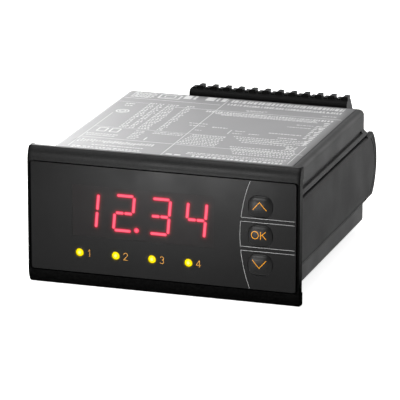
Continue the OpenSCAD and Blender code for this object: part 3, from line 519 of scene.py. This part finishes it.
# Lit resin: the colour is deepest at a bar's rim, where less light comes through
lit_resin, tree, _ = new_material("lit_red_resin")
rim = add_node(tree, "ShaderNodeAttribute", attribute_name="value")
reds = {"Factor": rim.outputs["Fac"], 6: linear("#ff7088"), 7: linear("#f4284a")}
glow = add_node(tree, "ShaderNodeMix", reds, data_type="RGBA")
shader = add_node(tree, "ShaderNodeEmission", {"Color": glow.outputs[2], "Strength": 1.35})
finish_material(tree, shader.outputs["Emission"])


def full_turn(count):
    """Evenly spaced angles all the way round."""
    return np.linspace(0, 2 * math.pi, count, endpoint=False)


def pill(start, end, radius, depth, rings=5, around=48):
    """A round-ended bar: each ring is the set of points at one distance from the line start-end. That
    distance grows from 0 to the radius, and the outermost ring is drawn back by the depth."""
    turn = full_turn(around)
    axis = (end - start) / max(np.linalg.norm(end - start), 1e-9)
    facing = np.stack([np.cos(turn), np.sin(turn)], axis=1)
    centre = np.where((facing @ axis > 0)[:, None], end, start)
    size = np.concatenate([np.linspace(0, 1, rings), [1.0]])
    flat = centre[None] + facing[None] * (radius * size)[:, None, None]
    back = np.where(np.arange(rings + 1) == rings, depth, 0.0)[:, None] + np.zeros(around)
    return flat, back, size


def ring_faces(rings, around):
    """Quads between each ring of a closed grid and the next."""
    i, j = np.meshgrid(np.arange(rings - 1), np.arange(around), indexing="ij")
    k = (j + 1) % around
    corners = [i * around + j, (i + 1) * around + j, (i + 1) * around + k, i * around + k]
    return np.stack(corners, axis=-1).reshape(-1, 4)


def mesh_piece(name, points_mm, faces, material, body, values=None):
    """A smooth piece from points and faces. It carries one value per point where a shader needs it, and
    points that coincide, as at a pole, are made one so that the surface is closed."""
    mesh = bpy.data.meshes.new(name)
    mesh.from_pydata((points_mm * MM).tolist(), [], faces.tolist())
    if values is not None:
        mesh.attributes.new("value", "FLOAT", "POINT").data.foreach_set("value", values.astype(np.float32))
    work = bmesh.new()
    work.from_mesh(mesh)
    bmesh.ops.remove_doubles(work, verts=work.verts, dist=0.0005 * MM)
    work.to_mesh(mesh)
    work.free()
    mesh.polygons.foreach_set("use_smooth", np.ones(len(mesh.polygons), bool))
    return add_piece(name, mesh, material, body)


bar_depth = 0.015
points, faces, rims = [], [], []
for start, end, radius in lit_bars:
    flat, back, size = pill(start, end, radius, bar_depth)
    base = len(points) * flat.shape[0] * flat.shape[1]
    points.append(np.stack([flat[..., 0], light_y + back, flat[..., 1]], axis=-1).reshape(-1, 3))
    faces.append(ring_faces(*flat.shape[:2]) + base)
    # the rim's colour starts at three eighths of the bar's half-width
    rims.append(np.repeat(np.clip(size * 1.6 - 0.6, 0, 1), flat.shape[1]))
points, faces, rims = map(np.concatenate, (points, faces, rims))
mesh_piece("lit_bars", points, faces, lit_resin, "meter", rims)


# ---- Lamps and key switches ----
# The relay lamps are small domes of diffused yellow resin on black sleeves, lit from inside. The switches
# under the keys are square tact switches with black plungers.

# Glossy black switch plastic, used for the lamps' sleeves too
switch_plastic = moulded_plastic("switch_body_plastic", "#141415", 0.35, 0.3, 0.004, 0.1)
dress(switch_plastic, "switch_up", "switch_ok", "switch_down", "lamp_spacers")
dress(switch_plastic, "plunger_up", "plunger_ok", "plunger_down")

# Diffused resin: it is palest at the dome's tip, nearest the chip inside, and deepest at the panel
lamp_resin, tree, place = new_material("lit_yellow_resin")
lamp_boxes = [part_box("lamp_%d" % number) for number in (1, 2, 3, 4)]
depth = add_node(tree, "ShaderNodeSeparateXYZ", {"Vector": place}).outputs["Y"]
tip_to_panel = {"From Min": lamp_boxes[0][0].y, "From Max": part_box("front_panel")[0].y}
inward = add_node(tree, "ShaderNodeMapRange", {"Value": depth, **tip_to_panel})
yellows = {"Factor": inward.outputs["Result"], 6: linear("#fff878"), 7: linear("#aa9400")}
tone = add_node(tree, "ShaderNodeMix", yellows, data_type="RGBA")
shader = add_node(
    tree,
    "ShaderNodeBsdfPrincipled",
    {
        "Base Color": linear("#7a6400"),
        "Roughness": 0.25,
        "Specular IOR Level": 0.2,
        "Emission Color": tone.outputs[2],
        "Emission Strength": 1.5,
    },
)
finish_material(tree, shader.outputs["BSDF"])
dress(lamp_resin, "lamp_1", "lamp_2", "lamp_3", "lamp_4")

panel_low, panel_high = (np.array(end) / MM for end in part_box("front_panel"))
film_y = panel_low[1] - ink_mm
lamp_places = [(np.array(low) + high)[[0, 2]] / 2 / MM for low, high in lamp_boxes]


def painted_glow_film(name, colour, strength):
    """A clear film with painted light: it adds light of one colour in proportion to each point's value."""
    material, tree, _ = new_material(name)
    share = add_node(tree, "ShaderNodeAttribute", attribute_name="value")
    level = add_node(tree, "ShaderNodeMath", {0: share.outputs["Fac"], 1: strength}, operation="MULTIPLY")
    light = add_node(tree, "ShaderNodeEmission", {"Color": linear(colour), "Strength": level.outputs[0]})
    clear = add_node(tree, "ShaderNodeBsdfTransparent")
    both = add_node(tree, "ShaderNodeAddShader", {0: light.outputs[0], 1: clear.outputs[0]})
    material.cycles.emission_sampling = "NONE"
    finish_material(tree, both.outputs[0])
    return material


# Painted light: a ring of full light is painted over each lamp's rim and the gap to its hole in the film,
# and a faint painted glow lies on the film round it: the light is full up to lamp_edge, and beyond it the
# share glow_share falls off as exp(-d / glow_fall)
lamp_edge = 1.26
glow_low, glow_high = 0.7, 2.5
glow_share, glow_fall = 0.15, 0.25
turn = full_turn(48)
reach = np.linspace(glow_low, glow_high, 19)
fade = np.where(reach < lamp_edge, 1.0, glow_share * np.exp((lamp_edge - reach) / glow_fall))
fade *= np.clip((reach - glow_low) / 0.2, 0, 1)
points, faces, lights = [], [], []
for i, (lamp_x, lamp_z) in enumerate(lamp_places):
    ring_x = lamp_x + reach[:, None] * np.cos(turn)
    ring_z = lamp_z + reach[:, None] * np.sin(turn)
    points.append(np.stack([ring_x, np.full_like(ring_x, film_y), ring_z], axis=-1).reshape(-1, 3))
    faces.append(ring_faces(*ring_x.shape) + i * ring_x.size)
    lights.append(np.repeat(fade, len(turn)))
points, faces, lights = map(np.concatenate, (points, faces, lights))
painted_lamp_light = painted_glow_film("lamp_glow_film", "#f4d800", 0.75)
mesh_piece("lamp_glow", points, faces, painted_lamp_light, "meter", lights)


# ---- Bezel and gasket ----
# The bezel is moulded in black polycarbonate and grained like the housing. A soft black rubber ring lies
# behind it and seals against the panel.

# Grained polycarbonate: near black, with a mottled face
bezel_plastic = moulded_plastic("bezel_polycarbonate", "#0a0a0a", 0.38, 0.7, 0.04, 0.12, mottle=0.5)
dress(bezel_plastic, "bezel")
# painted sheen and shade: the reflection strength grows from none at the lower rim to most at the upper rim,
# so the upper rim shows a painted sheen and the lower rim painted shade; it also falls to about an eighth
# near each end
tree = bezel_plastic.node_tree
place = add_node(tree, "ShaderNodeTexCoord").outputs["Object"]
axes = add_node(tree, "ShaderNodeSeparateXYZ", {"Vector": place})
lower_to_upper = {"From Min": -17 * MM, "From Max": 19 * MM, "To Min": 0.0, "To Max": 0.09}
painted_sheen_by_height = add_node(tree, "ShaderNodeMapRange", {"Value": axes.outputs["Z"], **lower_to_upper})
bezel_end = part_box("bezel")[1].x
along = add_node(tree, "ShaderNodeMath", {0: axes.outputs["X"]}, operation="ABSOLUTE")
ends = {"From Min": bezel_end - 1.4 * MM, "From Max": bezel_end - 0.4 * MM, "To Min": 1.0, "To Max": 0.12}
end_falloff = add_node(tree, "ShaderNodeMapRange", {"Value": along.outputs[0], **ends})
shares = {0: painted_sheen_by_height.outputs["Result"], 1: end_falloff.outputs["Result"]}
gloss = add_node(tree, "ShaderNodeMath", shares, operation="MULTIPLY")
tree.links.new(gloss.outputs[0], tree.nodes["Principled BSDF"].inputs["Specular IOR Level"])

# Nitrile rubber: black and quite dull
gasket_rubber = moulded_plastic("nitrile_rubber", "#0c0c0c", 0.75, 0.3, 0.02, 0.1, gloss=0.2)
dress(gasket_rubber, "panel_gasket")


# ---- Front panel ----
# A charcoal polyester film lies in the bezel's recess. Thin grey rules fence off the keys, and orange
# numerals name the lamps. All of it is printed on the film.

# Satin film over black print: charcoal, with an even soft sheen
front_film = moulded_plastic("printed_satin_film", "#080808", 0.33, 0.18, 0.004, 0.05, gloss=0.08)
dress(front_film, "front_panel")


def ink(name, colour):
    """Screen ink: one colour, slightly uneven where the ink lies thicker."""
    material, tree, place = new_material(name)
    patch = add_node(tree, "ShaderNodeTexNoise", {"Vector": place, "Scale": 1 / (0.5 * MM), "Detail": 1.0})
    spread = {"Value": patch.outputs["Fac"], "To Min": 0.85, "To Max": 1.15}
    layer = add_node(tree, "ShaderNodeMapRange", spread).outputs["Result"]
    tone = add_node(tree, "ShaderNodeHueSaturation", {"Color": linear(colour), "Value": layer})
    surface = {"Base Color": tone.outputs["Color"], "Roughness": 0.4, "Specular IOR Level": 0.15}
    shader = add_node(tree, "ShaderNodeBsdfPrincipled", surface)
    finish_material(tree, shader.outputs["BSDF"])
    return material


# Thin strokes let the dark film through, so the numerals' ink is mixed paler than the keys'
grey_ink = ink("light_grey_ink", "#cccccc")
orange_ink = ink("orange_ink", "#e69800")
numeral_ink = ink("pale_orange_ink", "#ffb64a")

rule_w = 0.085
film_edge = panel_high[0] - 0.4
fence_left, fence_radius = 27.3, 52


def fence_x(z):
    """The fence's bulging side: a large circle whose leftmost point is at mid-height."""
    return fence_left + fence_radius - np.sqrt(fence_radius**2 - np.asarray(z) ** 2)


# the fence's side has two gaps, and a rule runs to the film's edge from each end at a gap
gap_ends = [(4.5, 5.87), (-5.55, -4.17)]
fence_low, fence_high = -18.6, 18.7
sides = [(gap_ends[0][1], fence_high), (gap_ends[1][1], gap_ends[0][0]), (fence_low, gap_ends[1][0])]
fences = []
for low, high in sides:
    z = np.linspace(low, high, 24)
    fences.append(strip_quads(np.stack([fence_x(z), z], axis=1), rule_w))
for z in sorted(np.ravel(gap_ends), reverse=True):
    fences.append(strip_quads([(fence_x(z), z), (film_edge, z)], rule_w))
flat_piece("fence_print", fences, lambda u, v: (u, film_y, v), grey_ink, "meter")

# numerals 1 to 4 as strokes of one width, in a box at most 1.9 wide and 2.8 high that is then made smaller
numeral_w = 0.12
numeral_size = 0.86
numeral_offset = (3.6, 0.08)
numeral_strokes = [
    [[(-0.45, 0.75), (0.1, 1.4), (0.1, -1.4)]],
    [np.vstack([arc_points((0, 0.62), 0.78, 165, -35, 16), [(-0.85, -1.4), (0.9, -1.4)]])],
    [arc_points((0, 0.7), 0.7, 150, -80, 16), arc_points((0, -0.62), 0.78, 85, -150, 18)],
    [[(0.45, -1.4), (0.45, 1.4)], [(0.45, 1.4), (-0.95, -0.62)], [(-0.95, -0.62), (0.95, -0.62)]],
]
numerals = []
for lamp_place, strokes in zip(lamp_places, numeral_strokes):
    at = lamp_place + numeral_offset
    numerals += [strip_quads(np.asarray(stroke) * numeral_size + at, numeral_w) for stroke in strokes]
flat_piece("numeral_print", numerals, lambda u, v: (u, film_y, v), numeral_ink, "meter")


# ---- Display window ----
# The window is a clear polycarbonate sheet with a dark satin foil just under its face. The foil hides the
# bars that are off. Those that are lit shine through it, each with a soft red rim, and the foil round them
# carries a painted red glow.

# Polycarbonate sheet: clear, with a very slight warm haze
window_tint, tree, place = new_material("tinted_polycarbonate")
haze = add_node(tree, "ShaderNodeTexNoise", {"Vector": place, "Scale": 1 / (9 * MM), "Detail": 1.0})
tints = {"Factor": haze.outputs["Fac"], 6: linear("#ece8e8"), 7: linear("#f4f2f2")}
tint = add_node(tree, "ShaderNodeMix", tints, data_type="RGBA")
clear = add_node(tree, "ShaderNodeBsdfTransparent", {"Color": tint.outputs[2]})
finish_material(tree, clear.outputs[0])
dress(window_tint, "display_window")

# Dark satin foil with a painted red glow near each lit bar, standing in for the bars' light spreading in it
foil_film, tree, place = new_material("satin_diffusing_foil")
grain = add_node(tree, "ShaderNodeTexNoise", {"Vector": place, "Scale": 1 / (0.25 * MM), "Detail": 2.0})
relief = {"Height": grain.outputs["Fac"], "Distance": 0.004 * MM, "Strength": 1.0}
bump = add_node(tree, "ShaderNodeBump", relief)
painted_bar_glow = add_node(tree, "ShaderNodeAttribute", attribute_name="value")
level = add_node(tree, "ShaderNodeMath", {0: painted_bar_glow.outputs["Fac"], 1: 0.5}, operation="MULTIPLY")
shader = add_node(
    tree,
    "ShaderNodeBsdfPrincipled",
    {
        "Base Color": linear("#131313"),
        "Roughness": 0.33,
        "Specular IOR Level": 0.1,
        "Normal": bump.outputs["Normal"],
        "Emission Color": linear("#d01828"),
        "Emission Strength": level.outputs[0],
    },
)
finish_material(tree, shader.outputs["BSDF"])

# The foil is a flat grid. Its value, the strength of the painted glow, is the halo exp(-d / halo_reach),
# where d is the distance to the nearest lit bar's rim
columns, rows = 260, 96
halo_reach = 0.28
foil_margin = 0.01
foil_y = window_low[1] + 0.05
u, v = np.meshgrid(
    np.linspace(window_low[0] + foil_margin, window_high[0] - foil_margin, columns),
    np.linspace(window_low[2] + foil_margin, window_high[2] - foil_margin, rows),
)
halo = np.zeros_like(u)
for start, end, radius in lit_bars:
    along = end - start
    t = np.clip(((u - start[0]) * along[0] + (v - start[1]) * along[1]) / max(along @ along, 1e-9), 0, 1)
    distance = np.hypot(u - start[0] - t * along[0], v - start[1] - t * along[1]) - radius
    halo = np.maximum(halo, np.exp(-np.maximum(distance, 0) / halo_reach))
index = np.arange(rows * columns).reshape(rows, columns)
corners = [index[:-1, :-1], index[:-1, 1:], index[1:, 1:], index[1:, :-1]]
faces = np.stack(corners, axis=-1).reshape(-1, 4)
points = np.stack([u, np.full_like(u, foil_y), v], axis=-1).reshape(-1, 3)
mesh_piece("diffusing_foil", points, faces, foil_film, "meter", halo.ravel())


# ---- Keys ----
# Each key is a soft pillow of black silicone with its orange mark printed on, a flange that keeps it in
# and a stem that presses its switch. It moves in by half a millimetre.

# Silicone rubber: black, with a soft satin light on its dome
key_silicone = moulded_plastic("black_silicone", "#050505", 0.34, 0.25, 0.004, 0.1, gloss=0.13)
key_half_w, key_half_h = 4.2, 3.7
corner_power = 3.1
flange_w, flange_t = 0.5, 0.7
stem_radius = 2.0
key_base_y = panel_low[1]
flange_y = key_base_y + 3.2
key_front_y, stem_end_y = (end.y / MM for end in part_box("key_ok"))
# the pillow and its print stay within the solid key's length
key_dome = key_base_y - key_front_y - 0.02


def dome_height(s):
    """Height of the pillow over the panel at the share s of its way out: nearly flat, then rolling off."""
    return key_dome * (1 - np.clip(s, 0, 1) ** 2.6) ** 0.7


def pillow_rings(x, z):
    """Rings of a key, front to rear: superellipses |x/a|^n + |z/b|^n = 1 of changing half-size and depth."""
    share = np.sin(np.linspace(0, 1, 26) * math.pi / 2)
    rows = [(key_half_w * s, key_half_h * s, corner_power, key_base_y - dome_height(s)) for s in share]
    rows += [
        (key_half_w, key_half_h, corner_power, flange_y),
        (key_half_w + flange_w, key_half_h + flange_w, corner_power, flange_y),
        (key_half_w + flange_w, key_half_h + flange_w, corner_power, flange_y + flange_t),
        (stem_radius, stem_radius, 2.0, flange_y + flange_t),
        (stem_radius, stem_radius, 2.0, stem_end_y),
        (0.0, 0.0, 2.0, stem_end_y),
    ]
    ring_w, ring_h, power, depth = np.array(rows).T[:, :, None]
    turn = full_turn(72)
    cos, sin = np.cos(turn), np.sin(turn)
    ring_x = ring_w * np.sign(cos) * np.abs(cos) ** (2 / power)
    ring_z = ring_h * np.sign(sin) * np.abs(sin) ** (2 / power)
    return np.stack(np.broadcast_arrays(x + ring_x, depth, z + ring_z), axis=-1)


def on_pillow(u, v, centre_x, centre_z):
    """Puts a mark's points on the pillow: the share s comes from the superellipse's own formula."""
    s = np.abs(u / key_half_w) ** corner_power + np.abs(v / key_half_h) ** corner_power
    return centre_x + u, key_base_y - dome_height(s ** (1 / corner_power)) - ink_mm, centre_z + v


def fine(points, step=0.15):
    """The same path with points at most a step apart, so that a mark can follow a curved face."""
    points = np.asarray(points, float)
    parts = [points[:1]]
    for a, b in zip(points[:-1], points[1:]):
        count = max(int(np.linalg.norm(b - a) / step), 1)
        parts.append(a + (b - a) * np.linspace(0, 1, count + 1)[1:, None])
    return np.concatenate(parts)


# the marks: chevrons up and down, and the letters OK as a circle and three strokes
mark_w = 0.19
mark_offset = np.array([-0.15, 0.32])
chevron_w, chevron_h = 2.4, 1.35
marks = {
    "up": [fine([(-chevron_w, -chevron_h), (0, chevron_h), (chevron_w, -chevron_h)])],
    "ok": [
        arc_points((-1.55, 0), 1.25, 0, 360, 48),
        fine([(0.42, -1.33), (0.42, 1.33)]),
        fine([(2.2, 1.33), (0.47, -0.2)]),
        fine([(1.0, 0.28), (2.35, -1.33)]),
    ],
    "down": [fine([(-chevron_w, chevron_h), (0, -chevron_h), (chevron_w, chevron_h)])],
}
for name, strokes in marks.items():
    key = "key_" + name
    low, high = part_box(key)
    centre_x, centre_z = (low.x + high.x) / 2 / MM, (low.z + high.z) / 2 / MM
    rings = pillow_rings(centre_x, centre_z)
    faces = ring_faces(*rings.shape[:2])
    pad = mesh_piece("key_pad_" + name, rings.reshape(-1, 3), faces, key_silicone, key)
    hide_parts(key)
    flat_piece(
        "key_mark_" + name,
        [strip_quads(stroke + mark_offset, mark_w) for stroke in strokes],
        lambda u, v: on_pillow(u, v, centre_x, centre_z),
        orange_ink,
        key,
    )


# ---- Floor, light and camera ----
# The meter stands on a plain pale floor under soft light: a large lamp above, a lamp in front, cards behind
# on both sides, and two small cards that give the bezel its sheen. The background is white.

azimuth, elevation, roll = math.radians(17.814), math.radians(16.156), math.radians(0.122)
target_mm = Vector((11.902, 0, 9.164))
distance_mm = 1161.576
camera = bpy.data.objects.new("camera", bpy.data.cameras.new("camera"))
bpy.context.scene.collection.objects.link(camera)
level_back = math.cos(elevation)
back = Vector((math.sin(azimuth) * level_back, -math.cos(azimuth) * level_back, math.sin(elevation)))
right = (-back).cross(Vector((0, 0, 1))).normalized()
up = right.cross(-back)
camera_x = right * math.cos(roll) + up * math.sin(roll)
camera_y = up * math.cos(roll) - right * math.sin(roll)
turned = Matrix((camera_x, camera_y, back)).transposed().to_4x4()
camera.matrix_world = Matrix.Translation(target_mm * MM + back * distance_mm * MM) @ turned
camera.data.lens = 312.55
camera.data.sensor_width = 36
camera.data.clip_end = 10
bpy.context.scene.camera = camera
bpy.context.scene.view_settings.view_transform = "Standard"


def background_seen(tree):
    """1 for the rays that should meet the white background: from the camera, through glass or off gloss."""
    path = add_node(tree, "ShaderNodeLightPath")
    seen = path.outputs["Is Camera Ray"]
    for ray in ("Is Transmission Ray", "Is Glossy Ray"):
        either = add_node(tree, "ShaderNodeMath", {0: seen, 1: path.outputs[ray]}, operation="MAXIMUM")
        seen = either.outputs[0]
    return seen


# Matt floor paint: it looks white, takes the meter's shadow, and throws little light back on the meter
floor_paint, tree, _ = new_material("pale_floor_paint")
seen = background_seen(tree)
greys = {"Factor": seen, 6: linear("#303030"), 7: linear("#f0f0f0")}
grey = add_node(tree, "ShaderNodeMix", greys, data_type="RGBA")
matt = add_node(tree, "ShaderNodeBsdfDiffuse", {"Color": grey.outputs[2]})
lift = add_node(tree, "ShaderNodeEmission", {"Color": (1, 1, 1, 1), "Strength": 0.72})
shown_floor = add_node(tree, "ShaderNodeAddShader", {0: matt.outputs[0], 1: lift.outputs[0]})
shader = add_node(tree, "ShaderNodeMixShader", {0: seen, 1: matt.outputs[0], 2: shown_floor.outputs[0]})
finish_material(tree, shader.outputs[0])

# the floor lies a hair below the lowest solid, and runs out far past the view
floor_z = cad_box[0].z / MM - 0.05
floor_half = 1500
floor_corners = np.array(box_corners(-floor_half, -floor_half, floor_half, floor_half))
floor_points = np.hstack([floor_corners, np.full((4, 1), floor_z)]) * MM
mesh = bpy.data.meshes.new("floor")
mesh.from_pydata(floor_points.tolist(), [], [(0, 1, 2, 3)])
mesh.materials.append(floor_paint)
floor = bpy.data.objects.new("floor", mesh)
bpy.context.scene.collection.objects.link(floor)

# The room is white to look at, and lights the meter softly, most from above
world = bpy.data.worlds.new("white_room")
bpy.context.scene.world = world
world.use_nodes = True
tree = world.node_tree
tree.nodes.clear()
direction = add_node(tree, "ShaderNodeTexCoord").outputs["Generated"]
towards = add_node(tree, "ShaderNodeSeparateXYZ", {0: direction})
upward = {"Value": towards.outputs["Z"], "To Min": 0.16, "To Max": 0.5}
ambient = add_node(tree, "ShaderNodeMapRange", upward)
strengths = {"Factor": background_seen(tree), "A": ambient.outputs["Result"], "B": 1.0}
level = add_node(tree, "ShaderNodeMix", strengths)
sky = add_node(tree, "ShaderNodeBackground", {"Color": (1, 1, 1, 1), "Strength": level.outputs[0]})
add_node(tree, "ShaderNodeOutputWorld", {"Surface": sky.outputs[0]})


def soft_lamp(name, place_mm, aim_mm, size_mm, watts):
    """A rectangular area lamp at a place, turned towards the point it aims at."""
    lamp = bpy.data.lights.new(name, "AREA")
    lamp.shape = "RECTANGLE"
    lamp.size, lamp.size_y = size_mm[0] * MM, size_mm[1] * MM
    lamp.energy = watts
    holder = bpy.data.objects.new(name, lamp)
    bpy.context.scene.collection.objects.link(holder)
    place_at, aim_at = Vector(place_mm) * MM, Vector(aim_mm) * MM
    holder.rotation_mode = "QUATERNION"
    holder.rotation_quaternion = (aim_at - place_at).to_track_quat("-Z", "Y")
    holder.location = place_at


soft_lamp("top_lamp", (-120, 60, 700), (0, 40, 0), (600, 600), 2.4)
soft_lamp("rear_card", (-300, 360, 170), (0, 40, 0), (300, 300), 1.5)
soft_lamp("front_lamp", (-90, -260, 460), (0, 0, 10), (260, 120), 1.6)
soft_lamp("side_card", (320, 500, 160), (40, 80, 0), (260, 200), 1.3)
soft_lamp("bar_card", (-38, -160, 66), (0, -4.4, 21), (90, 24), 0.22)
soft_lamp("sheen_card", (-32, -130, -17), (0, -4.4, 16), (60, 28), 0.14)
